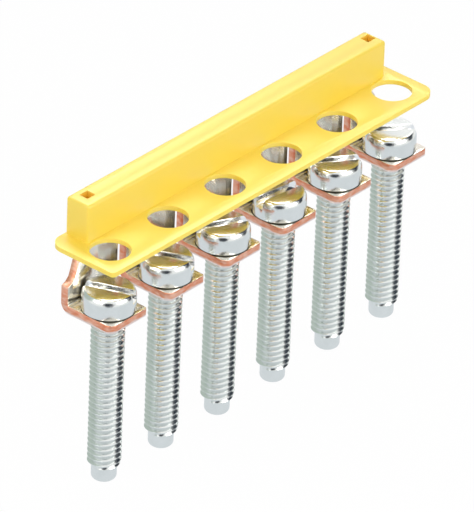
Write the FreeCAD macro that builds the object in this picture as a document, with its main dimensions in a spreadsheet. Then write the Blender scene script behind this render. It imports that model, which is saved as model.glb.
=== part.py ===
import FreeCAD, Part
import os
import PartDesign
import Sketcher

# Screw-type cross connector for a row of six terminals.
# Frame: origin on the first screw's axis, in the plane of the tabs' undersides;
# +X along the row to the last pole, +Y towards the rib, +Z up. Millimetres.

POLES = 6

# The way each screw's driver slot points, in degrees from +X.
SLOT_ANGLES = [-68.0, -65.0, -26.0, -8.0, -35.0, -38.0]

doc = FreeCAD.newDocument("cross_connector")
sheet = doc.addObject("Spreadsheet::Sheet", "Sizes")

SIZES = [
    # the row
    ("pole_pitch", 9.9),
    ("gap_count", POLES - 1),
    # the comb: a stamped strip, bent once along the row
    ("strip_thickness", 1.0),
    ("upright_front", 3.55),
    ("tab_front", 3.2),
    ("tab_half_width", 3.1),
    ("tab_left_corner_radius", 1.0),
    ("tab_right_corner_radius", 0.4),
    ("tab_hole_radius", 2.15),
    ("bend_inner_radius", 0.3),
    ("finger_right_reach", 5.4),
    ("finger_foot_level", 1.4),
    ("finger_slot_top", 9.3),
    ("spine_top", 12.3),
    ("spine_end_inset", 0.1),
    ("end_shoulder_level", 3.45),
    ("end_shoulder_rise", 1.5),
    ("end_shoulder_inset", 1.4),
    ("end_waist_level", 6.2),
    ("end_waist_inset", 1.8),
    ("end_neck_level", 8.1),
    # the insulating profile: a flange with a rib along its back
    ("flange_bottom", 8.2),
    ("flange_thickness", 0.6),
    ("flange_left", 3.7),
    ("flange_right_past_axis", 3.7),
    ("flange_front", 3.77),
    ("profile_back", 6.13),
    ("rib_front", 2.7),
    ("rib_left", 0.9),
    ("rib_right_past_axis", 1.9),
    ("rib_height", 4.88),
    ("driver_hole_radius", 2.435),
    ("comb_groove_clearance", 0.05),
    ("comb_groove_end_clearance", 0.1),
    ("mould_pocket_x_left", 1.05),
    ("mould_pocket_x_right", 50.3),
    ("mould_pocket_y", 4.6),
    ("mould_pocket_length", 1.35),
    ("mould_pocket_width", 1.25),
    ("mould_pocket_depth", 1.0),
    ("flange_large_corner_radius", 1.8),
    ("flange_middle_corner_radius", 0.9),
    ("flange_small_corner_radius", 0.5),
    ("rib_edge_radius", 0.4),
    ("rib_foot_radius", 0.6),
    # the screw: slotted cheese head, threaded shank, plain dog point
    ("head_radius", 3.2),
    ("head_height", 2.7),
    ("head_edge_radius", 0.45),
    ("slot_width", 1.2),
    ("slot_depth", 1.2),
    ("neck_radius", 1.75),
    ("thread_crest_radius", 2.0),
    ("thread_end_depth", 20.2),
    ("thread_end_chamfer", 0.45),
    ("dog_radius", 1.5),
    ("tip_depth", 22.0),
    ("dog_edge_radius", 0.5),
]

for row, (alias, value) in enumerate(SIZES, start=1):
    sheet.set("A%d" % row, alias)
    sheet.set("B%d" % row, repr(value))
    sheet.setAlias("B%d" % row, alias)
doc.recompute()


def of_sheet(expression):
    """Put the sheet's name before every alias of an expression."""
    words = expression.replace("(", " ( ").replace(")", " ) ").split()
    aliases = [alias for alias, value in SIZES]
    return " ".join("Sizes." + word if word in aliases else word for word in words)


def new_body(label):
    body = doc.addObject("PartDesign::Body", label)
    body.Label = label
    return body


def plane_of(body, role):
    for feature in body.Origin.OriginFeatures:
        if feature.Role == role:
            return feature
    raise ValueError("no origin plane " + role)


def new_sketch(body, name, role, height=None):
    """A sketch on one of the body's origin planes, lifted by an expression."""
    sketch = body.newObject("Sketcher::SketchObject", name)
    sketch.AttachmentSupport = [(plane_of(body, role), "")]
    sketch.MapMode = "FlatFace"
    if height is not None:
        sketch.setExpression("AttachmentOffset.Base.z", of_sheet(height))
    return sketch


def pin_point(sketch, line, end, across, up, name):
    """Hold one end of a line at expressions measured from the sketch's origin."""
    for kind, text in (("DistanceX", across), ("DistanceY", up)):
        value = doc_value(text)
        index = sketch.addConstraint(Sketcher.Constraint(kind, -1, 1, line, end, value))
        label = name + kind[-1]
        sketch.renameConstraint(index, label)
        sketch.setExpression("Constraints." + label, of_sheet(text))


def doc_value(text):
    """The number that an expression of sheet aliases has now."""
    result = sheet.evalExpression(of_sheet(text))
    return float(getattr(result, "Value", result))


def closed_outline(sketch, corners, name):
    """Straight edges through corners, each an (across, up) pair of expressions."""
    points = [FreeCAD.Vector(doc_value(a), doc_value(u), 0) for a, u in corners]
    lines = []
    for index, start in enumerate(points):
        end = points[(index + 1) % len(points)]
        lines.append(sketch.addGeometry(Part.LineSegment(start, end), False))
    for index, line in enumerate(lines):
        follower = lines[(index + 1) % len(lines)]
        sketch.addConstraint(Sketcher.Constraint("Coincident", line, 2, follower, 1))
    for index, (across, up) in enumerate(corners):
        pin_point(sketch, lines[index], 1, across, up, "%s%d" % (name, index))
    return lines


def rectangle(sketch, left, right, low, high, name):
    corners = [(left, low), (right, low), (right, high), (left, high)]
    return closed_outline(sketch, corners, name)


def circle(sketch, across, up, radius, name):
    centre = FreeCAD.Vector(doc_value(across), doc_value(up), 0)
    ring = sketch.addGeometry(
        Part.Circle(centre, FreeCAD.Vector(0, 0, 1), doc_value(radius)), False
    )
    index = sketch.addConstraint(Sketcher.Constraint("Radius", ring, doc_value(radius)))
    sketch.renameConstraint(index, name + "Radius")
    sketch.setExpression("Constraints." + name + "Radius", of_sheet(radius))
    pin_point(sketch, ring, 3, across, up, name)


def pad(body, sketch, name, length):
    feature = body.newObject("PartDesign::Pad", name)
    feature.Profile = sketch
    feature.setExpression("Length", of_sheet(length))
    doc.recompute()
    return feature


def pocket(body, sketch, name, length=None, both_ways=False, upward=False):
    """A pocket that must take material away, or the build stops."""
    before = body.Shape.Volume
    feature = body.newObject("PartDesign::Pocket", name)
    feature.Profile = sketch
    if length is None:
        feature.Type = "ThroughAll"
    else:
        feature.setExpression("Length", of_sheet(length))
    if both_ways:
        feature.Midplane = True
    if upward:
        feature.Reversed = True
    doc.recompute()
    if body.Shape.Volume > before - 1e-4:
        raise ValueError(name + " cuts nothing")
    return feature


def repeat_along_row(body, feature, name, times):
    """Copy a feature once per pole or per gap, one pitch apart."""
    before = body.Shape.Volume
    pattern = body.newObject("PartDesign::LinearPattern", name)
    pattern.Originals = [feature]
    x_axis = [f for f in body.Origin.OriginFeatures if f.Role == "X_Axis"][0]
    pattern.Direction = (x_axis, [""])
    pattern.Mode = "Spacing"
    pattern.setExpression("Offset", of_sheet("pole_pitch"))
    pattern.setExpression("Occurrences", of_sheet(times))
    body.Tip = pattern
    doc.recompute()
    if body.Shape.Volume > before - 1e-4:
        raise ValueError(name + " cuts nothing")
    return pattern


def fillet(body, name, radius, choose):
    """Round the edges of the body's present shape that choose(edge) picks."""
    base = body.Tip
    names = []
    for index, edge in enumerate(base.Shape.Edges, start=1):
        if choose(edge):
            names.append("Edge%d" % index)
    if not names:
        raise ValueError(name + " finds no edge")
    feature = body.newObject("PartDesign::Fillet", name)
    feature.Base = (base, names)
    feature.setExpression("Radius", of_sheet(radius))
    doc.recompute()
    if "Invalid" in feature.State or not feature.Shape.isValid():
        raise ValueError(name + " can't be made")
    return feature


def along(edge, axis):
    """True for a straight edge that lies along one axis: 0, 1 or 2 for X, Y or Z."""
    if not isinstance(edge.Curve, (Part.Line, Part.LineSegment)):
        return False
    start, end = edge.Vertexes[0].Point, edge.Vertexes[-1].Point
    run = end - start
    return abs(run[axis]) > 0.999 * run.Length


def near(value, text):
    return abs(value - doc_value(text)) < 1e-3


def middle(edge):
    return edge.BoundBox.Center


def build_comb():
    """One strip: a tab under every screw, fingers behind the heads, a common spine."""
    body = new_body("jumper_comb")

    # The L section, drawn across the row and drawn out along it.
    section = new_sketch(body, "comb_section", "YZ_Plane", "0 - tab_half_width")
    back = "upright_front + strip_thickness"
    rectangle(section, "0 - tab_front", back, "0", "spine_top", "section")
    blank = pad(body, section, "comb_blank", "gap_count * pole_pitch + 2 * tab_half_width")

    inside = new_sketch(body, "comb_inside", "YZ_Plane", "0 - tab_half_width - 1")
    rectangle(inside, "0 - tab_front - 1", "upright_front", "strip_thickness", "spine_top + 1", "inside")
    pocket(body, inside, "comb_inside_cut", "gap_count * pole_pitch + 2 * tab_half_width + 2", upward=True)

    def inner_corner(edge):
        spot = middle(edge)
        return along(edge, 0) and near(spot.y, "upright_front") and near(spot.z, "strip_thickness")

    def outer_corner(edge):
        spot = middle(edge)
        return along(edge, 0) and near(spot.y, back) and near(spot.z, "0")

    fillet(body, "comb_inner_bend", "bend_inner_radius", inner_corner)
    fillet(body, "comb_outer_bend", "bend_inner_radius + strip_thickness", outer_corner)

    # The gap between neighbouring tabs, up to the fingers' foot.
    gap = new_sketch(body, "tab_gap", "XY_Plane", "0 - 1")
    rectangle(
        gap, "tab_half_width", "pole_pitch - tab_half_width",
        "0 - tab_front - 1", "upright_front + strip_thickness + 1", "gap",
    )
    gap_cut = pocket(body, gap, "tab_gap_cut", "finger_foot_level + 1", upward=True)
    repeat_along_row(body, gap_cut, "tab_gaps", "gap_count")

    # The slot between neighbouring fingers, up into the rib.
    slot = new_sketch(body, "finger_slot", "XZ_Plane")
    rectangle(
        slot, "finger_right_reach", "pole_pitch - tab_half_width",
        "finger_foot_level - 0.5", "finger_slot_top", "slot",
    )
    slot_cut = pocket(body, slot, "finger_slot_cut", "4 * profile_back", both_ways=True)
    repeat_along_row(body, slot_cut, "finger_slots", "gap_count")

    # The end fingers step in above the tabs and narrow towards the spine.
    for side, word, edge_at in ((1, "left", "0 - tab_half_width"),
                                (-1, "right", "gap_count * pole_pitch + tab_half_width")):
        sign = "+" if side > 0 else "-"
        out = "-" if side > 0 else "+"
        outline = new_sketch(body, "end_step_" + word, "XZ_Plane")
        inward = edge_at + " " + sign + " "
        corners = [
            (edge_at + " " + out + " 1", "end_shoulder_level"),
            (edge_at, "end_shoulder_level"),
            (inward + "end_shoulder_inset * 0.45", "end_shoulder_level + end_shoulder_rise * 0.17"),
            (inward + "end_shoulder_inset * 0.8", "end_shoulder_level + end_shoulder_rise * 0.5"),
            (inward + "end_shoulder_inset", "end_shoulder_level + end_shoulder_rise"),
            (inward + "end_waist_inset", "end_waist_level"),
            (inward + "( tab_half_width + spine_end_inset )", "end_neck_level"),
            (inward + "( tab_half_width + spine_end_inset )", "spine_top + 1"),
            (edge_at + " " + out + " 1", "spine_top + 1"),
        ]
        closed_outline(outline, corners, "step")
        pocket(body, outline, "end_step_cut_" + word, "4 * profile_back", both_ways=True)

    # The front corners of every tab are rounded, the left one more.
    def front_corner(side):
        def chosen(edge):
            spot = middle(edge)
            from_axis = (spot.x - side * doc_value("tab_half_width")) / doc_value("pole_pitch")
            return along(edge, 2) and near(spot.y, "0 - tab_front") and near(from_axis - round(from_axis), "0")
        return chosen

    fillet(body, "tab_left_corners", "tab_left_corner_radius", front_corner(-1))
    fillet(body, "tab_right_corners", "tab_right_corner_radius", front_corner(1))

    # The screw's hole in every tab.
    hole = new_sketch(body, "tab_hole", "XY_Plane", "0 - 1")
    circle(hole, "0", "0", "tab_hole_radius", "hole")
    hole_cut = pocket(body, hole, "tab_hole_cut", "strip_thickness + 2", upward=True)
    repeat_along_row(body, hole_cut, "tab_holes", "gap_count + 1")
    return body


def build_profile():
    """The moulded profile: flange over the heads, rib along the back, comb groove."""
    body = new_body("insulating_profile")
    flange_right = "gap_count * pole_pitch + flange_right_past_axis"
    rib_right = "gap_count * pole_pitch + rib_right_past_axis"
    flange_top = "flange_bottom + flange_thickness"

    flange = new_sketch(body, "flange_outline", "XY_Plane", "flange_bottom")
    rectangle(flange, "0 - flange_left", flange_right, "0 - flange_front", "profile_back", "flange")
    pad(body, flange, "flange", "flange_thickness")

    def flange_corner(x, y):
        def chosen(edge):
            spot = middle(edge)
            return along(edge, 2) and near(spot.x, x) and near(spot.y, y)
        return chosen

    for word, radius, x, y in (
        ("front_left", "flange_small_corner_radius", "0 - flange_left", "0 - flange_front"),
        ("front_right", "flange_large_corner_radius", flange_right, "0 - flange_front"),
        ("back_left", "flange_large_corner_radius", "0 - flange_left", "profile_back"),
        ("back_right", "flange_middle_corner_radius", flange_right, "profile_back"),
    ):
        fillet(body, "flange_corner_" + word, radius, flange_corner(x, y))

    rib = new_sketch(body, "rib_outline", "XY_Plane", "flange_bottom")
    rectangle(rib, "0 - rib_left", rib_right, "rib_front", "profile_back", "rib")
    pad(body, rib, "rib", "flange_thickness + rib_height")

    def rib_top_edge(edge):
        return near(edge.BoundBox.ZMin, flange_top + " + rib_height")

    def rib_upright_edge(edge):
        return along(edge, 2) and edge.BoundBox.ZMax > doc_value(flange_top) + 1

    def rib_foot_edge(edge):
        box = edge.BoundBox
        on_top = near(box.ZMax, flange_top) and near(box.ZMin, flange_top)
        beside = box.XMin > doc_value("0 - rib_left") - 1e-3 and box.XMax < doc_value(rib_right) + 1e-3
        behind = box.YMin > doc_value("rib_front") - 1e-3
        at_back = box.YMin > doc_value("profile_back") - 1e-3
        return on_top and beside and behind and not at_back

    fillet(body, "rib_foot_round", "rib_foot_radius", rib_foot_edge)
    fillet(body, "rib_corners", "rib_edge_radius", rib_upright_edge)
    fillet(body, "rib_top_round", "rib_edge_radius", rib_top_edge)

    hole = new_sketch(body, "driver_hole", "XY_Plane", "flange_bottom - 1")
    circle(hole, "0", "0", "driver_hole_radius", "hole")
    hole_cut = pocket(body, hole, "driver_hole_cut", "flange_thickness + 2", upward=True)
    repeat_along_row(body, hole_cut, "driver_holes", "gap_count + 1")

    # The groove that takes the comb's spine, open underneath.
    groove = new_sketch(body, "comb_groove", "XY_Plane", "flange_bottom - 1")
    rectangle(
        groove,
        "spine_end_inset - comb_groove_end_clearance",
        "gap_count * pole_pitch - spine_end_inset + comb_groove_end_clearance",
        "upright_front - comb_groove_clearance",
        "upright_front + strip_thickness + comb_groove_clearance",
        "groove",
    )
    pocket(body, groove, "comb_groove_cut", "spine_top - flange_bottom + 1", upward=True)

    # Small square pockets in the rib's top, one near each end.
    for word in ("left", "right"):
        sketch = new_sketch(body, "mould_pocket_" + word, "XY_Plane", flange_top + " + rib_height")
        centre = "mould_pocket_x_" + word
        rectangle(
            sketch,
            centre + " - mould_pocket_length / 2", centre + " + mould_pocket_length / 2",
            "mould_pocket_y - mould_pocket_width / 2", "mould_pocket_y + mould_pocket_width / 2",
            "pocket",
        )
        pocket(body, sketch, "mould_pocket_cut_" + word, "mould_pocket_depth")
    return body


def build_screw(number):
    """One slotted screw, its head's underside on the tab, its axis along Z."""
    body = new_body("screw_%d" % number)
    half = new_sketch(body, "screw_half_%d" % number, "XZ_Plane")
    head_top = "strip_thickness + head_height"
    corners = [
        ("0", head_top),
        ("0", "0 - tip_depth"),
        ("dog_radius", "0 - tip_depth"),
        ("dog_radius", "0 - thread_end_depth"),
        ("thread_crest_radius - thread_end_chamfer", "0 - thread_end_depth"),
        ("thread_crest_radius", "0 - thread_end_depth + thread_end_chamfer"),
        ("thread_crest_radius", "0"),
        ("neck_radius", "0"),
        ("neck_radius", "strip_thickness"),
        ("head_radius", "strip_thickness"),
        ("head_radius", head_top),
    ]
    closed_outline(half, corners, "half")
    turned = body.newObject("PartDesign::Revolution", "screw_turned_%d" % number)
    turned.Profile = half
    turned.ReferenceAxis = (half, ["V_Axis"])
    turned.Angle = 360.0
    doc.recompute()

    def head_rim(edge):
        top = doc_value(head_top)
        box = edge.BoundBox
        return abs(box.ZMin - top) < 1e-3 and abs(box.ZMax - top) < 1e-3 and box.XMax > 1

    def tip_rim(edge):
        bottom = doc_value("0 - tip_depth")
        box = edge.BoundBox
        return abs(box.ZMin - bottom) < 1e-3 and abs(box.ZMax - bottom) < 1e-3 and box.XMax > 1

    fillet(body, "head_rim_%d" % number, "head_edge_radius", head_rim)
    fillet(body, "tip_rim_%d" % number, "dog_edge_radius", tip_rim)

    slot = new_sketch(body, "driver_slot_%d" % number, "XY_Plane", head_top)
    rectangle(
        slot, "0 - head_radius - 1", "head_radius + 1",
        "0 - slot_width / 2", "slot_width / 2", "slot",
    )
    pocket(body, slot, "driver_slot_cut_%d" % number, "slot_depth")

    body.setExpression("Placement.Base.x", of_sheet("pole_pitch * %d" % (number - 1)))
    body.Placement.Rotation = FreeCAD.Rotation(
        FreeCAD.Vector(0, 0, 1), SLOT_ANGLES[number - 1]
    )
    doc.recompute()
    return body


bodies = [build_profile(), build_comb()]
for number in range(1, POLES + 1):
    bodies.append(build_screw(number))
doc.recompute()

for item in doc.Objects:
    if "Invalid" in item.State or "Error" in item.State:
        raise ValueError("failed: " + item.Name)
for body in bodies:
    if body.Shape.isNull() or not body.Shape.isValid() or len(body.Shape.Solids) != 1:
        raise ValueError("bad shape: " + body.Label)

os.makedirs("parts", exist_ok=True)
for body in bodies:
    body.Shape.exportStep("parts/" + body.Label + ".step")
    box = body.Shape.BoundBox
    print(
        body.Label, round(body.Shape.Volume, 2),
        [round(v, 2) for v in (box.XMin, box.XMax, box.YMin, box.YMax, box.ZMin, box.ZMax)],
    )
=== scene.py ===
import math

import bmesh
import bpy
from mathutils import Matrix, Vector


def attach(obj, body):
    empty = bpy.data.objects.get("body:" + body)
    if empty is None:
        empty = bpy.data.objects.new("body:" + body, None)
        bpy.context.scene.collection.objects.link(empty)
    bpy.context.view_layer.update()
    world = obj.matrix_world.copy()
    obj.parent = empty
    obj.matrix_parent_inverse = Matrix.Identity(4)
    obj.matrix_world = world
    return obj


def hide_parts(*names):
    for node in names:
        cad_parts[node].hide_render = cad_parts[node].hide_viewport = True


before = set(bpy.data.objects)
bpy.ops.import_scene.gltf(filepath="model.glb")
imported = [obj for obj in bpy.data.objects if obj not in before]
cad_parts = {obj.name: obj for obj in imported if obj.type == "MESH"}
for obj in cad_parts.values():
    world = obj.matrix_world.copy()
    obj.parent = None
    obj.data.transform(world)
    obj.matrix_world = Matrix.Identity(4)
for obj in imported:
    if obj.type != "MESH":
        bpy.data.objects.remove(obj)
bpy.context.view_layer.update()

# A six-pole cross connector: yellow insulating profile, tinned copper comb, slotted screws.
# Shapes are worked out in millimetres, and each finished mesh is turned to metres.
# X runs along the row from the first screw, Y towards the rib, and Z is 0 under the tabs.
MM = 0.001
POLES = 6
PITCH = 9.9
STRIP_THICKNESS = 1.0

scene = bpy.context.scene
scene.view_settings.view_transform = "Standard"


# Colours and nodes

WHITE = (1.0, 1.0, 1.0, 1.0)


def colour(hex_text):
    """An sRGB hex value as linear RGBA."""
    out = []
    for start in (1, 3, 5):
        value = int(hex_text[start:start + 2], 16) / 255.0
        out.append(value / 12.92 if value <= 0.04045 else ((value + 0.055) / 1.055) ** 2.4)
    return (*out, 1.0)


def add_node(tree, kind, settings=None, links=None):
    """A node with its properties or socket values set, and its inputs linked.

    Sockets that share a name go by number. In a Mix node 0 is the share, 2 and 3 are the two
    numbers, and 6 and 7 the two colours.
    """
    made = tree.nodes.new(kind)
    for key, value in (settings or {}).items():
        if isinstance(key, int) or key in made.inputs:
            made.inputs[key].default_value = value
        else:
            setattr(made, key, value)
    for key, source in (links or {}).items():
        tree.links.new(source, made.inputs[key])
    return made


def new_material(name):
    """A material without nodes, and its node tree."""
    material = bpy.data.materials.new(name)
    material.use_nodes = True
    material.node_tree.nodes.clear()
    return material, material.node_tree


def per_mm(size_mm):
    """Noise scale, in periods per metre, for a feature of that size."""
    return 1.0 / (size_mm * MM)


def moulded_polyamide(name, dark, pale, translucency):
    """Glass-filled polyamide moulded in a satin tool, with a resin-rich skin: a broad pale
    sheen, and a little light passes through thin walls."""
    material, tree = new_material(name)
    place = add_node(tree, "ShaderNodeTexCoord")

    # The melt sets in faint clouds, some 7 mm across.
    clouds = add_node(tree, "ShaderNodeTexNoise", {"Scale": per_mm(7.0), "Detail": 3.0},
                      {"Vector": place.outputs["Object"]})
    tint = add_node(tree, "ShaderNodeMix",
                    {"data_type": "RGBA", 6: colour(dark), 7: colour(pale)},
                    {0: clouds.outputs["Fac"]})
    gloss = add_node(tree, "ShaderNodeMapRange", {"To Min": 0.48, "To Max": 0.58},
                     {"Value": clouds.outputs["Fac"]})

    # The tool's satin grain is some 0.03 mm, too fine to show, so it is drawn at 0.12 mm.
    grain = add_node(tree, "ShaderNodeTexNoise", {"Scale": per_mm(0.12), "Detail": 4.0},
                     {"Vector": place.outputs["Object"]})
    relief = add_node(tree, "ShaderNodeBump", {"Strength": 0.12, "Distance": 0.02 * MM},
                      {"Height": grain.outputs["Fac"]})
    shader = add_node(tree, "ShaderNodeBsdfPrincipled",
                      {"IOR": 1.53, "Specular IOR Level": 1.0,
                       "Coat Weight": 0.6, "Coat Roughness": 0.4,
                       "Subsurface Weight": translucency, "Subsurface Scale": 0.6 * MM,
                       "Subsurface Radius": (1.0, 0.7, 0.2)},
                      {"Base Color": tint.outputs[2], "Roughness": gloss.outputs[0],
                       "Normal": relief.outputs[0]})
    add_node(tree, "ShaderNodeOutputMaterial", links={"Surface": shader.outputs[0]})
    return material


def tinned_copper_strip():
    """Rolled copper strip, tin plated before it was stamped: nearly a mirror on its two
    rolled faces, pink bare copper where the punch cut through it."""
    material, tree = new_material("tin_plated_copper_strip")
    place = add_node(tree, "ShaderNodeTexCoord")
    spot = add_node(tree, "ShaderNodeSeparateXYZ", links={0: place.outputs["Object"]})
    facing = add_node(tree, "ShaderNodeNewGeometry")
    normal = add_node(tree, "ShaderNodeSeparateXYZ", links={0: facing.outputs["True Normal"]})

    # Cut edges look along the row, or are the front of a tab, below its upper face.
    sideways = add_node(tree, "ShaderNodeMath", {"operation": "ABSOLUTE"},
                        {0: normal.outputs["X"]})
    side_cut = add_node(tree, "ShaderNodeMath", {"operation": "GREATER_THAN", 1: 0.3},
                        {0: sideways.outputs[0]})
    forward = add_node(tree, "ShaderNodeMath", {"operation": "LESS_THAN", 1: -0.6},
                       {0: normal.outputs["Y"]})
    low = add_node(tree, "ShaderNodeMath",
                   {"operation": "LESS_THAN", 1: (STRIP_THICKNESS - 0.01) * MM},
                   {0: spot.outputs["Z"]})
    front_cut = add_node(tree, "ShaderNodeMath", {"operation": "MULTIPLY"},
                         {0: forward.outputs[0], 1: low.outputs[0]})
    cut = add_node(tree, "ShaderNodeMath", {"operation": "MAXIMUM"},
                   {0: side_cut.outputs[0], 1: front_cut.outputs[0]})

    # The tin has a soft bloom, some 2.5 mm across.
    bloom = add_node(tree, "ShaderNodeTexNoise", {"Scale": per_mm(2.5), "Detail": 3.0},
                     {"Vector": place.outputs["Object"]})
    tin = add_node(tree, "ShaderNodeMix",
                   {"data_type": "RGBA", 6: colour("#E0DACD"), 7: colour("#F1ECE2")},
                   {0: bloom.outputs["Fac"]})
    tin_rough = add_node(tree, "ShaderNodeMapRange", {"To Min": 0.14, "To Max": 0.26},
                         {"Value": bloom.outputs["Fac"]})

    # The punch leaves uneven streaks along the cut, and drags tin over its lower edge.
    along_cut = add_node(tree, "ShaderNodeMapping", {"Scale": (0.35, 0.35, 1.0)},
                         {"Vector": place.outputs["Object"]})
    streaks = add_node(tree, "ShaderNodeTexNoise",
                       {"Scale": per_mm(0.4), "Detail": 4.0, "Roughness": 0.6},
                       {"Vector": along_cut.outputs[0]})
    uneven = add_node(tree, "ShaderNodeMapRange", {"From Min": 0.35, "From Max": 0.65},
                      {"Value": streaks.outputs["Fac"]})
    bare = add_node(tree, "ShaderNodeMix",
                    {"data_type": "RGBA", 6: colour("#E88E68"), 7: colour("#F6C6AE")},
                    {0: uneven.outputs[0]})
    ragged = add_node(tree, "ShaderNodeMath",
                      {"operation": "MULTIPLY_ADD", 1: 0.3 * MM, 2: 0.08 * MM},
                      {0: streaks.outputs["Fac"]})
    fringe = add_node(tree, "ShaderNodeMath", {"operation": "LESS_THAN"},
                      {0: spot.outputs["Z"], 1: ragged.outputs[0]})
    copper = add_node(tree, "ShaderNodeMix", {"data_type": "RGBA", 7: colour("#F6E2DA")},
                      {0: fringe.outputs[0], 6: bare.outputs[2]})
    copper_rough = add_node(tree, "ShaderNodeMapRange", {"To Min": 0.3, "To Max": 0.5},
                            {"Value": streaks.outputs["Fac"]})

    skin = add_node(tree, "ShaderNodeMix", {"data_type": "RGBA"},
                    {0: cut.outputs[0], 6: tin.outputs[2], 7: copper.outputs[2]})
    rough = add_node(tree, "ShaderNodeMix", {"data_type": "FLOAT"},
                     {0: cut.outputs[0], 2: tin_rough.outputs[0], 3: copper_rough.outputs[0]})

    # Rolling lines run down the fingers, 0.05 mm apart on the real one, drawn at 0.2 mm, over
    # the strip's slight waves.
    down_finger = add_node(tree, "ShaderNodeMapping", {"Scale": (1.0, 0.04, 0.04)},
                           {"Vector": place.outputs["Object"]})
    waves = add_node(tree, "ShaderNodeTexNoise", {"Scale": per_mm(1.2), "Detail": 1.0},
                     {"Vector": down_finger.outputs[0]})
    rolling = add_node(tree, "ShaderNodeTexNoise", {"Scale": per_mm(0.2), "Detail": 2.0},
                       {"Vector": down_finger.outputs[0]})
    wavy = add_node(tree, "ShaderNodeBump", {"Strength": 0.8, "Distance": 0.1 * MM},
                    {"Height": waves.outputs["Fac"]})
    relief = add_node(tree, "ShaderNodeBump", {"Strength": 0.4, "Distance": 0.01 * MM},
                      {"Height": rolling.outputs["Fac"], "Normal": wavy.outputs[0]})
    shader = add_node(tree, "ShaderNodeBsdfPrincipled", {"Metallic": 1.0},
                      {"Base Color": skin.outputs[2], "Roughness": rough.outputs[0],
                       "Normal": relief.outputs[0]})
    add_node(tree, "ShaderNodeOutputMaterial", links={"Surface": shader.outputs[0]})
    return material


def zinc_plated_steel(name, dark, pale, smoothest, roughest):
    """Cold-headed steel with a clear-passivated zinc plate: bright, faintly cloudy."""
    material, tree = new_material(name)
    place = add_node(tree, "ShaderNodeTexCoord")

    # The passivation dries in clouds, some 1.5 mm across.
    clouds = add_node(tree, "ShaderNodeTexNoise", {"Scale": per_mm(1.5), "Detail": 4.0},
                      {"Vector": place.outputs["Object"]})
    tint = add_node(tree, "ShaderNodeMix",
                    {"data_type": "RGBA", 6: colour(dark), 7: colour(pale)},
                    {0: clouds.outputs["Fac"]})
    gloss = add_node(tree, "ShaderNodeMapRange", {"To Min": smoothest, "To Max": roughest},
                     {"Value": clouds.outputs["Fac"]})

    # The plate's pits are some 0.02 mm, too fine to show, so they are drawn at 0.3 mm.
    pits = add_node(tree, "ShaderNodeTexNoise", {"Scale": per_mm(0.3), "Detail": 3.0},
                    {"Vector": place.outputs["Object"]})
    relief = add_node(tree, "ShaderNodeBump", {"Strength": 0.3, "Distance": 0.04 * MM},
                      {"Height": pits.outputs["Fac"]})
    shader = add_node(tree, "ShaderNodeBsdfPrincipled", {"Metallic": 1.0},
                      {"Base Color": tint.outputs[2], "Roughness": gloss.outputs[0],
                       "Normal": relief.outputs[0]})
    add_node(tree, "ShaderNodeOutputMaterial", links={"Surface": shader.outputs[0]})
    return material


YELLOW = moulded_polyamide("moulded_polyamide_yellow", "#FAD93A", "#FDDC48", 0.25)
# Painted shade: the pockets' walls and floors get a deeper orange yellow that stands in for the
# shade down in the pockets, and no light passes through them.
POCKET_PAINTED_SHADE_YELLOW = moulded_polyamide("polyamide_painted_pocket_shade", "#EFBC1E", "#F3C428", 0.0)
STRIP = tinned_copper_strip()
ZINC = zinc_plated_steel("zinc_plated_steel", "#E3E7E4", "#F2F4F2", 0.14, 0.26)
# Painted light: down in the slot the zinc gets a near-white colour that stands in for light on
# the slot's walls and floor, and is a little smoother.
SLOT_PAINTED_LIGHT_ZINC = zinc_plated_steel("zinc_painted_light_in_slot", "#FAFBFA", "#FEFEFD", 0.1, 0.18)
# The lower edge of the head is where the die parts: dull, and dark with a stain of the bath.
# Painted shade: the head's washer face and lower rounding are dull and dark, standing in for the
# thin shade line under its rim.
UNDERHEAD_PAINTED_SHADE_ZINC = zinc_plated_steel("zinc_painted_shade_under_head", "#6E706A", "#8A8C84", 0.4, 0.55)


# Mesh helpers

# Millimetres within which two points are one, and within which a point lies on a face.
SAME_POINT, NEAR = 1e-4, 1e-3
# Faces that meet at less than the first angle are merged, and at more than the second stay sharp.
FLAT_ANGLE, SHARP_ANGLE = math.radians(0.5), math.radians(35.0)
# How far a cutter reaches past the face of the moulding that it opens.
CUTTER_REACH = 1.2


def to_object(name, shape, *materials):
    """A bmesh in millimetres as an object in metres, smooth except over sharp edges."""
    bmesh.ops.scale(shape, vec=(MM, MM, MM), verts=shape.verts)
    mesh = bpy.data.meshes.new(name)
    shape.to_mesh(mesh)
    shape.free()
    for material in materials:
        mesh.materials.append(material)
    made = bpy.data.objects.new(name, mesh)
    scene.collection.objects.link(made)
    for face in mesh.polygons:
        face.use_smooth = True
    mesh.set_sharp_from_angle(angle=SHARP_ANGLE)
    return made


def spun(outline, segments):
    """A closed solid of revolution round Z from (radius, height) points, pole to pole."""
    shape = bmesh.new()
    points = [shape.verts.new((radius, 0.0, height)) for radius, height in outline]
    edges = [shape.edges.new(pair) for pair in zip(points, points[1:])]
    bmesh.ops.spin(shape, geom=points + edges, cent=(0, 0, 0), axis=(0, 0, 1),
                   angle=math.tau, steps=segments, use_merge=True)
    bmesh.ops.remove_doubles(shape, verts=shape.verts, dist=SAME_POINT)
    bmesh.ops.recalc_face_normals(shape, faces=shape.faces)
    return shape


def rod(radius, low, high, x, segments):
    """An upright cylinder round the point x of the row."""
    shape = spun([(0, low), (radius, low), (radius, high), (0, high)], segments)
    bmesh.ops.translate(shape, vec=(x, 0, 0), verts=shape.verts)
    return shape


def box_mesh(low, high):
    """A box between its lowest and highest corners."""
    shape = bmesh.new()
    bmesh.ops.create_cube(shape, size=1.0)
    size = Vector(high) - Vector(low)
    bmesh.ops.scale(shape, vec=size, verts=shape.verts)
    bmesh.ops.translate(shape, vec=Vector(low) + size / 2, verts=shape.verts)
    return shape


def round_edges(shape, chosen, radius, segments):
    """Round the chosen edges."""
    bmesh.ops.bevel(shape, geom=chosen, offset=radius, offset_type="OFFSET", affect="EDGES",
                    segments=segments, profile=0.5, material=-1, clamp_overlap=True)


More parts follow.
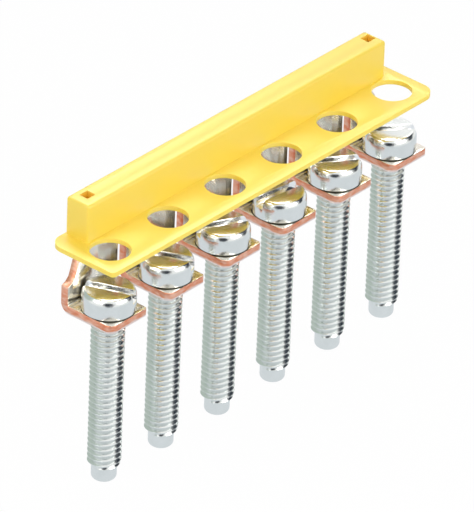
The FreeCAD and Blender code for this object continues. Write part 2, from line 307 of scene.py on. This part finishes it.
def ease_edges(shape, radius, over_angle):
    """Take the sharpness off every edge that turns by more than over_angle degrees."""
    chosen = [edge for edge in shape.edges if len(edge.link_faces) == 2
              and edge.calc_face_angle(0.0) > math.radians(over_angle)]
    round_edges(shape, chosen, radius, segments=2)


def merge_flat(shape):
    """Merge doubled points, and faces that lie in one plane."""
    bmesh.ops.remove_doubles(shape, verts=shape.verts, dist=SAME_POINT)
    bmesh.ops.dissolve_limit(shape, angle_limit=FLAT_ANGLE, verts=shape.verts,
                             edges=shape.edges)


def scratch_object(shape):
    """A bmesh as an object that carve uses and removes."""
    mesh = bpy.data.meshes.new("scratch")
    shape.to_mesh(mesh)
    shape.free()
    made = bpy.data.objects.new("scratch", mesh)
    scene.collection.objects.link(made)
    return made


def carve(shape, tools):
    """shape after each (operation, bmesh) of tools, by exact booleans."""
    target = scratch_object(shape)
    cutters = []
    for operation, tool in tools:
        cutter = scratch_object(tool)
        step = target.modifiers.new("carve", "BOOLEAN")
        step.operation = operation
        step.solver = "EXACT"
        step.object = cutter
        cutters.append(cutter)
    bpy.context.view_layer.update()
    mesh = bpy.data.meshes.new_from_object(
        target.evaluated_get(bpy.context.evaluated_depsgraph_get()))
    result = bmesh.new()
    result.from_mesh(mesh)
    for spare in (*cutters, target):
        bpy.data.objects.remove(spare)
    bpy.data.meshes.remove(mesh)
    merge_flat(result)
    return result


def join(shapes):
    """Several bmeshes as one."""
    whole = bmesh.new()
    for shape in shapes:
        mesh = bpy.data.meshes.new("scratch")
        shape.to_mesh(mesh)
        shape.free()
        whole.from_mesh(mesh)
        bpy.data.meshes.remove(mesh)
    return whole


# Insulating profile

FLANGE_LOW, FLANGE_HIGH = 8.2, 8.8
FLANGE_LEFT, FLANGE_RIGHT = -3.7, 53.2
FLANGE_FRONT, PROFILE_BACK = -3.77, 6.13
# Seen from above, the flange's corners and the radius of each.
FLANGE_CORNERS = [
    (FLANGE_LEFT, FLANGE_FRONT, 0.5),
    (FLANGE_RIGHT, FLANGE_FRONT, 1.8),
    (FLANGE_LEFT, PROFILE_BACK, 1.8),
    (FLANGE_RIGHT, PROFILE_BACK, 0.9),
]
RIB_LEFT, RIB_RIGHT, RIB_FRONT, RIB_TOP = -0.9, 51.4, 2.7, 13.68
RIB_EDGE_RADIUS, RIB_FOOT_RADIUS = 0.4, 0.6
DRIVER_HOLE_RADIUS, DRIVER_HOLE_SEGMENTS = 2.435, 72
# The groove that the comb's spine is pressed into from below.
GROOVE_LEFT, GROOVE_RIGHT, GROOVE_FRONT, GROOVE_BACK, GROOVE_TOP = -0.1, 49.6, 3.5, 4.6, 12.35
POCKETS_X, POCKET_Y = (1.05, 50.3), 4.6
POCKET_LENGTH, POCKET_WIDTH, POCKET_DEPTH = 1.35, 1.25, 1.0
POCKET_SHADE_MATERIAL = 1
MOULDED_EDGE = 0.06


def is_upright_at(edge, x, y):
    """Whether an edge of the flange stands on the point x, y."""
    return all(abs(point.co.x - x) < NEAR and abs(point.co.y - y) < NEAR
               for point in edge.verts)


def is_rib_foot(edge):
    """Whether an edge is where a wall of the rib stands upright on the flange."""
    if len(edge.link_faces) != 2 or edge.calc_face_angle(0.0) < math.radians(60.0):
        return False
    return all(abs(point.co.z - FLANGE_HIGH) < NEAR and point.co.y > RIB_FRONT - NEAR
               and RIB_LEFT - NEAR < point.co.x < RIB_RIGHT + NEAR for point in edge.verts)


def is_in_pocket(middle):
    """Whether a face, by its middle, is a wall or the floor of a pocket."""
    return (RIB_TOP - POCKET_DEPTH - NEAR < middle.z < RIB_TOP - MOULDED_EDGE
            and abs(middle.y - POCKET_Y) < POCKET_WIDTH / 2 + NEAR
            and any(abs(middle.x - x) < POCKET_LENGTH / 2 + NEAR for x in POCKETS_X))


def make_profile():
    """The flange with its driver holes, the rib with its pockets, and the comb's groove."""
    shape = box_mesh((FLANGE_LEFT, FLANGE_FRONT, FLANGE_LOW),
                     (FLANGE_RIGHT, PROFILE_BACK, FLANGE_HIGH))
    for x, y, radius in FLANGE_CORNERS:
        round_edges(shape, [edge for edge in shape.edges if is_upright_at(edge, x, y)],
                    radius, segments=10)
    rib = box_mesh((RIB_LEFT, RIB_FRONT, FLANGE_LOW), (RIB_RIGHT, PROFILE_BACK, RIB_TOP))
    round_edges(rib, [edge for edge in rib.edges
                      if max(point.co.z for point in edge.verts) > RIB_TOP - NEAR],
                RIB_EDGE_RADIUS, segments=5)
    shape = carve(shape, [("UNION", rib)])
    round_edges(shape, [edge for edge in shape.edges if is_rib_foot(edge)],
                RIB_FOOT_RADIUS, segments=5)

    cutters = [rod(DRIVER_HOLE_RADIUS, FLANGE_LOW - CUTTER_REACH, FLANGE_HIGH + CUTTER_REACH,
                   PITCH * pole, DRIVER_HOLE_SEGMENTS) for pole in range(POLES)]
    cutters.append(box_mesh((GROOVE_LEFT, GROOVE_FRONT, FLANGE_LOW - CUTTER_REACH),
                            (GROOVE_RIGHT, GROOVE_BACK, GROOVE_TOP)))
    for x in POCKETS_X:
        cutters.append(box_mesh(
            (x - POCKET_LENGTH / 2, POCKET_Y - POCKET_WIDTH / 2, RIB_TOP - POCKET_DEPTH),
            (x + POCKET_LENGTH / 2, POCKET_Y + POCKET_WIDTH / 2, RIB_TOP + CUTTER_REACH)))
    shape = carve(shape, [("DIFFERENCE", cutter) for cutter in cutters])
    ease_edges(shape, MOULDED_EDGE, over_angle=30.0)
    for face in shape.faces:
        # Painted shade: faces down in the pockets take the deeper yellow.
        if is_in_pocket(face.calc_center_median()):
            face.material_index = POCKET_SHADE_MATERIAL
    return to_object("insulating_profile_moulding", shape, YELLOW, POCKET_PAINTED_SHADE_YELLOW)


profile = make_profile()
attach(profile, "root")
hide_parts("insulating_profile")


# Comb

STAMPED_EDGE = 0.06


def make_comb():
    """The strip as the frame has it, its doubled points merged and its edges eased."""
    shape = bmesh.new()
    shape.from_mesh(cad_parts["jumper_comb"].data)
    bmesh.ops.scale(shape, vec=(1 / MM, 1 / MM, 1 / MM), verts=shape.verts)
    merge_flat(shape)
    ease_edges(shape, STAMPED_EDGE, over_angle=40.0)
    return to_object("tinned_copper_comb", shape, STRIP)


comb = make_comb()
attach(comb, "root")
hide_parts("jumper_comb")


# Screws

HEAD_RADIUS, HEAD_LOW, HEAD_HIGH, HEAD_SEGMENTS = 3.2, STRIP_THICKNESS, 3.7, 96
# The upper edge is upset in the die: rounder down the side than across the top.
HEAD_EDGE_ACROSS, HEAD_EDGE_DOWN = 0.5, 1.0
# The head bears on a low washer face. The thin dark line under its rim is painted shade on that
# face and the lower rounding.
WASHER_FACE_RADIUS, WASHER_FACE_SLOPE, WASHER_FACE_HIGH = 2.9, 0.04, HEAD_LOW + 0.05
HEAD_FOOT_RADIUS = 0.14
SLOT_WIDTH, SLOT_FLOOR, SLOT_EDGE = 1.2, HEAD_HIGH - 1.2, 0.07
# The slot's cutter ends past the head's rim and top.
SLOT_CUT_END, SLOT_CUT_TOP = 5.0, HEAD_HIGH + 1.0
SLOT_LIGHT_MATERIAL, UNDERSIDE_SHADE_MATERIAL = 1, 2
# How far each screw was turned when the driver stopped, in degrees from the row.
SLOT_ANGLES = [-68.0, -65.0, -26.0, -8.0, -35.0, -38.0]
# The neck and the dog point overlap the thread, and the neck the head, so that no gap shows.
NECK_RADIUS, NECK_OVERLAP, SHANK_SEGMENTS = 1.75, 0.2, 64
DOG_RADIUS, DOG_EDGE_RADIUS, DOG_OVERLAP, TIP = 1.5, 0.5, 0.3, -22.0
THREAD_TOP, THREAD_END, THREAD_CHAMFER = 0.0, -20.2, 0.45
THREAD_PITCH, THREAD_CREST, THREAD_ROOT, STEPS_PER_TURN = 0.7, 2.0, 1.57, 36
# One turn of the rolled thread as (radius, height): root, flank, crest with rounded edges,
# flank, root.
THREAD_FORM = [
    (THREAD_ROOT, 0.0), (THREAD_ROOT, 0.1),
    (THREAD_CREST - 0.03, 0.31), (THREAD_CREST, 0.34),
    (THREAD_CREST, 0.4), (THREAD_CREST - 0.03, 0.43),
    (THREAD_ROOT, 0.67), (THREAD_ROOT, THREAD_PITCH),
]


def rolled_thread():
    """A right-hand thread, closed at both ends and chamfered at the lower one."""
    shape = bmesh.new()
    # Spare turns at both ends are cut off square.
    spare = 2
    start = THREAD_END - spare * THREAD_PITCH
    turns = math.ceil((THREAD_TOP - THREAD_END) / THREAD_PITCH) + spare + 1
    points = [shape.verts.new((radius, 0.0, start + height)) for radius, height in THREAD_FORM]
    edges = [shape.edges.new(pair) for pair in zip(points, points[1:])]
    bmesh.ops.spin(shape, geom=points + edges, cent=(0, 0, 0), axis=(0, 0, 1),
                   dvec=(0, 0, THREAD_PITCH / STEPS_PER_TURN), angle=math.tau * turns,
                   steps=STEPS_PER_TURN * turns)
    bmesh.ops.remove_doubles(shape, verts=shape.verts, dist=SAME_POINT)
    for height, outward in ((THREAD_END, -1), (THREAD_TOP, 1)):
        bmesh.ops.bisect_plane(shape, geom=shape.verts[:] + shape.edges[:] + shape.faces[:],
                               plane_co=(0, 0, height), plane_no=(0, 0, outward),
                               clear_outer=True)
        rim = [edge for edge in shape.edges if edge.is_boundary
               and all(abs(point.co.z - height) < NEAR for point in edge.verts)]
        bmesh.ops.contextual_create(shape, geom=rim)
    for point in shape.verts:
        reach = math.hypot(point.co.x, point.co.y)
        allowed = THREAD_CREST - THREAD_CHAMFER + (point.co.z - THREAD_END)
        if reach > allowed:
            point.co.x *= allowed / reach
            point.co.y *= allowed / reach
    bmesh.ops.recalc_face_normals(shape, faces=shape.faces)
    return shape


def rounding(centre, across, down, from_turn, to_turn, steps):
    """Points of a rounded edge about a (radius, height) centre, turns in degrees."""
    points = []
    for step in range(steps + 1):
        turn = math.radians(from_turn + (to_turn - from_turn) * step / steps)
        points.append((centre[0] + across * math.cos(turn), centre[1] + down * math.sin(turn)))
    return points


def slotted_head():
    """A cheese head with its slot along X, and the materials of its slot and underside."""
    foot = (HEAD_RADIUS - HEAD_FOOT_RADIUS, WASHER_FACE_HIGH + HEAD_FOOT_RADIUS)
    shoulder = (HEAD_RADIUS - HEAD_EDGE_ACROSS, HEAD_HIGH - HEAD_EDGE_DOWN)
    outline = [(0, HEAD_LOW), (WASHER_FACE_RADIUS, HEAD_LOW),
               (WASHER_FACE_RADIUS + WASHER_FACE_SLOPE, WASHER_FACE_HIGH)]
    outline += rounding(foot, HEAD_FOOT_RADIUS, HEAD_FOOT_RADIUS, -90, 0, steps=3)
    outline += rounding(shoulder, HEAD_EDGE_ACROSS, HEAD_EDGE_DOWN, 0, 90, steps=8)
    outline.append((0, HEAD_HIGH))
    slot = box_mesh((-SLOT_CUT_END, -SLOT_WIDTH / 2, SLOT_FLOOR),
                    (SLOT_CUT_END, SLOT_WIDTH / 2, SLOT_CUT_TOP))
    shape = carve(spun(outline, HEAD_SEGMENTS), [("DIFFERENCE", slot)])
    ease_edges(shape, SLOT_EDGE, over_angle=40.0)
    for face in shape.faces:
        middle = face.calc_center_median()
        # Painted light on the slot's faces.
        if abs(middle.y) < SLOT_WIDTH / 2 + NEAR and middle.z > SLOT_FLOOR - SLOT_EDGE:
            face.material_index = SLOT_LIGHT_MATERIAL
        # Painted shade on the washer face and the lower rounding.
        elif middle.z < WASHER_FACE_HIGH + HEAD_FOOT_RADIUS:
            face.material_index = UNDERSIDE_SHADE_MATERIAL
    return shape


def dog_point():
    """The plain end that finds the sleeve's thread."""
    edge_centre = (DOG_RADIUS - DOG_EDGE_RADIUS, TIP + DOG_EDGE_RADIUS)
    outline = [(0, THREAD_END + DOG_OVERLAP), (DOG_RADIUS, THREAD_END + DOG_OVERLAP)]
    outline += rounding(edge_centre, DOG_EDGE_RADIUS, DOG_EDGE_RADIUS, 0, -90, steps=5)
    outline.append((0, TIP))
    return spun(outline, SHANK_SEGMENTS)


def make_screw(number, head, shank):
    """One screw at its pole, turned as the driver left it."""
    head = head.copy()
    turned = Matrix.Rotation(math.radians(SLOT_ANGLES[number - 1]), 3, "Z")
    bmesh.ops.rotate(head, cent=(0, 0, 0), matrix=turned, verts=head.verts)
    shape = join([head, shank.copy()])
    bmesh.ops.translate(shape, vec=(PITCH * (number - 1), 0, 0), verts=shape.verts)
    screw = to_object("slotted_screw_%d" % number, shape, ZINC, SLOT_PAINTED_LIGHT_ZINC, UNDERHEAD_PAINTED_SHADE_ZINC)
    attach(screw, "root")
    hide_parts("screw_%d" % number)


def make_screws():
    """Six screws alike, from one head and one shank."""
    head = slotted_head()
    neck = rod(NECK_RADIUS, THREAD_TOP - NECK_OVERLAP, HEAD_LOW + NECK_OVERLAP, 0.0,
               SHANK_SEGMENTS)
    shank = join([neck, rolled_thread(), dog_point()])
    for number in range(1, POLES + 1):
        make_screw(number, head, shank)
    head.free()
    shank.free()


make_screws()


# Floor

# The paper lies a hair under the tips.
FLOOR_CENTRE, FLOOR_RADIUS, FLOOR_HEIGHT, FLOOR_SEGMENTS = (25.0, 0.0), 130.0, TIP - 0.02, 96
# How much of the paper the camera sees as plain white. The rest shows the bar's shadow.
PAPER_WHITENESS = 0.975


def white_paper():
    """Seamless white paper: white to the eye and through holes, a shade greyer in bright
    metal, and plain diffuse paper to other light."""
    material, tree = new_material("seamless_white_paper")
    # Its fibres clump about a millimetre across.
    fibre = add_node(tree, "ShaderNodeTexNoise", {"Scale": per_mm(1.0)})
    tone = add_node(tree, "ShaderNodeMix",
                    {"data_type": "RGBA", 6: colour("#F4F4F2"), 7: colour("#FBFBFA")},
                    {0: fibre.outputs["Fac"]})
    paper = add_node(tree, "ShaderNodeBsdfDiffuse", links={"Color": tone.outputs[2]})
    mirrored = add_node(tree, "ShaderNodeEmission",
                        {"Color": colour("#E0E5EA"), "Strength": 1.0})
    white = add_node(tree, "ShaderNodeEmission", {"Color": WHITE, "Strength": 1.0})

    path = add_node(tree, "ShaderNodeLightPath")
    in_metal = add_node(tree, "ShaderNodeMixShader",
                        links={0: path.outputs["Is Glossy Ray"], 1: paper.outputs[0],
                               2: mirrored.outputs[0]})
    looked_at = add_node(tree, "ShaderNodeMath", {"operation": "MAXIMUM"},
                         {0: path.outputs["Is Camera Ray"],
                          1: path.outputs["Is Transmission Ray"]})
    whiteness = add_node(tree, "ShaderNodeMath", {"operation": "MULTIPLY", 1: PAPER_WHITENESS},
                         {0: looked_at.outputs[0]})
    blend = add_node(tree, "ShaderNodeMixShader",
                     links={0: whiteness.outputs[0], 1: in_metal.outputs[0],
                            2: white.outputs[0]})
    add_node(tree, "ShaderNodeOutputMaterial", links={"Surface": blend.outputs[0]})
    return material


def make_floor():
    """A round sheet of paper that the screws' tips stand on."""
    shape = bmesh.new()
    bmesh.ops.create_circle(shape, cap_ends=True, segments=FLOOR_SEGMENTS, radius=FLOOR_RADIUS)
    bmesh.ops.translate(shape, vec=(*FLOOR_CENTRE, FLOOR_HEIGHT), verts=shape.verts)
    to_object("paper_floor", shape, white_paper())


make_floor()


# Room and lamps

# What the studio's walls look like in bright metal: the middle of each part in degrees from +X
# and up from the paper, its radius in degrees, its colour and how bright that is.
WALL_PARTS = [
    (105.0, 35.0, 50.0, "#BAC6BF", 1.0),  # the wall behind the row
    (50.0, 64.0, 23.0, "#FFFFFF", 7.0),  # the lit ceiling behind it
    (220.0, 7.0, 20.0, "#2A303A", 1.0),  # round the camera
    (332.0, 34.0, 21.0, "#2C343E", 1.0),  # past the row's far end
    (318.0, 8.0, 15.0, "#2A303A", 1.0),  # beside the right softbox
]
# Degrees on each side of its outline over which a part fades out.
WALL_FADE = 3.0
ROOM_LEVEL = 0.57
# The softboxes' turn and rise as seen from the bar, in degrees, their width and brightness.
SOFTBOXES = [
    ("back_softbox", 40.0, 56.0, 190.0, 1.0),
    ("right_softbox", 276.0, 24.0, 180.0, 3.3),
    ("left_softbox", 176.0, 28.0, 190.0, 2.3),
]
SOFTBOX_DISTANCE = 290.0
BAR_MIDDLE = Vector((25.0, 0.0, 4.0))


def direction(turn, rise):
    """The unit vector that is turned from +X and raised from the paper by so many degrees."""
    turn, rise = math.radians(turn), math.radians(rise)
    return Vector((math.cos(turn) * math.cos(rise), math.sin(turn) * math.cos(rise),
                   math.sin(rise)))


def white_room():
    """An evenly lit white room whose dark gaps only bright metal shows."""
    world = bpy.data.worlds.new("white_room")
    world.use_nodes = True
    tree = world.node_tree
    tree.nodes.clear()
    place = add_node(tree, "ShaderNodeTexCoord")
    walls = None
    for turn, rise, radius, hex_text, brightness in WALL_PARTS:
        shade = [brightness * part for part in colour(hex_text)[:3]]
        nearness = add_node(tree, "ShaderNodeVectorMath",
                            {"operation": "DOT_PRODUCT", 1: direction(turn, rise)},
                            {0: place.outputs["Generated"]})
        within = add_node(tree, "ShaderNodeMapRange",
                          {"From Min": math.cos(math.radians(radius + WALL_FADE)),
                           "From Max": math.cos(math.radians(radius - WALL_FADE))},
                          {"Value": nearness.outputs["Value"]})
        links = {0: within.outputs[0]}
        if walls:
            links[6] = walls.outputs[2]
        walls = add_node(tree, "ShaderNodeMix",
                         {"data_type": "RGBA", 6: WHITE, 7: (*shade, 1.0)}, links)
    mirrored = add_node(tree, "ShaderNodeBackground", {"Strength": 1.0},
                        {"Color": walls.outputs[2]})
    room = add_node(tree, "ShaderNodeBackground",
                    {"Color": colour("#FBFCFD"), "Strength": ROOM_LEVEL})
    white = add_node(tree, "ShaderNodeBackground", {"Color": WHITE, "Strength": 1.0})

    path = add_node(tree, "ShaderNodeLightPath")
    in_metal = add_node(tree, "ShaderNodeMixShader",
                        links={0: path.outputs["Is Glossy Ray"], 1: room.outputs[0],
                               2: mirrored.outputs[0]})
    looked_at = add_node(tree, "ShaderNodeMath", {"operation": "MAXIMUM"},
                         {0: path.outputs["Is Camera Ray"],
                          1: path.outputs["Is Transmission Ray"]})
    blend = add_node(tree, "ShaderNodeMixShader",
                     links={0: looked_at.outputs[0], 1: in_metal.outputs[0],
                            2: white.outputs[0]})
    add_node(tree, "ShaderNodeOutputWorld", links={"Surface": blend.outputs[0]})
    return world


def make_softbox(name, turn, rise, width, brightness):
    """A square lamp that faces the bar. Its power is worked out from its area, so that it
    looks about as bright as it says."""
    lamp = bpy.data.lights.new(name, "AREA")
    lamp.shape = "SQUARE"
    lamp.size = width * MM
    lamp.energy = math.pi * brightness * lamp.size ** 2
    made = bpy.data.objects.new(name, lamp)
    away = direction(turn, rise)
    made.location = (BAR_MIDDLE + SOFTBOX_DISTANCE * away) * MM
    made.rotation_euler = (-away).to_track_quat("-Z", "Y").to_euler()
    scene.collection.objects.link(made)


scene.world = white_room()
for softbox in SOFTBOXES:
    make_softbox(*softbox)


# Camera

# As fitted to the row in the photograph, in degrees, millimetres and pixels.
CAMERA_TURN, CAMERA_RISE, CAMERA_ROLL = -50.04, 31.70, -2.24
CAMERA_DISTANCE, FOCAL_PIXELS = 987.45, 8525.58
PICTURE_WIDTH, PICTURE_HEIGHT, SENSOR_HEIGHT = 474, 512, 36.0
# A point in the middle of the bar, and the pixel that shows it.
SIGHTED_POINT, SIGHTED_PIXEL = Vector((25.0, -0.3, 2.8)), (255.0, 213.13)


def make_camera():
    """The photograph's camera: long lens, from the front left and above."""
    turn, rise, roll = map(math.radians, (CAMERA_TURN, CAMERA_RISE, CAMERA_ROLL))
    back = Vector((math.sin(turn) * math.cos(rise), -math.cos(turn) * math.cos(rise),
                   math.sin(rise)))
    right = Vector((math.cos(turn), math.sin(turn), 0.0))
    up = back.cross(right)
    right, up = (math.cos(roll) * right - math.sin(roll) * up,
                 math.sin(roll) * right + math.cos(roll) * up)
    mm_per_pixel = CAMERA_DISTANCE / FOCAL_PIXELS
    across = (SIGHTED_PIXEL[0] - PICTURE_WIDTH / 2) * mm_per_pixel
    above = (PICTURE_HEIGHT / 2 - SIGHTED_PIXEL[1]) * mm_per_pixel
    place = SIGHTED_POINT + CAMERA_DISTANCE * back - across * right - above * up

    lens = bpy.data.cameras.new("photo_camera")
    lens.sensor_fit = "VERTICAL"
    lens.sensor_height = SENSOR_HEIGHT
    lens.lens = FOCAL_PIXELS / PICTURE_HEIGHT * SENSOR_HEIGHT
    lens.clip_start = 0.01
    lens.clip_end = 20.0
    camera = bpy.data.objects.new("photo_camera", lens)
    matrix = Matrix((right, up, back)).transposed().to_4x4()
    matrix.translation = place * MM
    camera.matrix_world = matrix
    scene.collection.objects.link(camera)
    scene.camera = camera


make_camera()
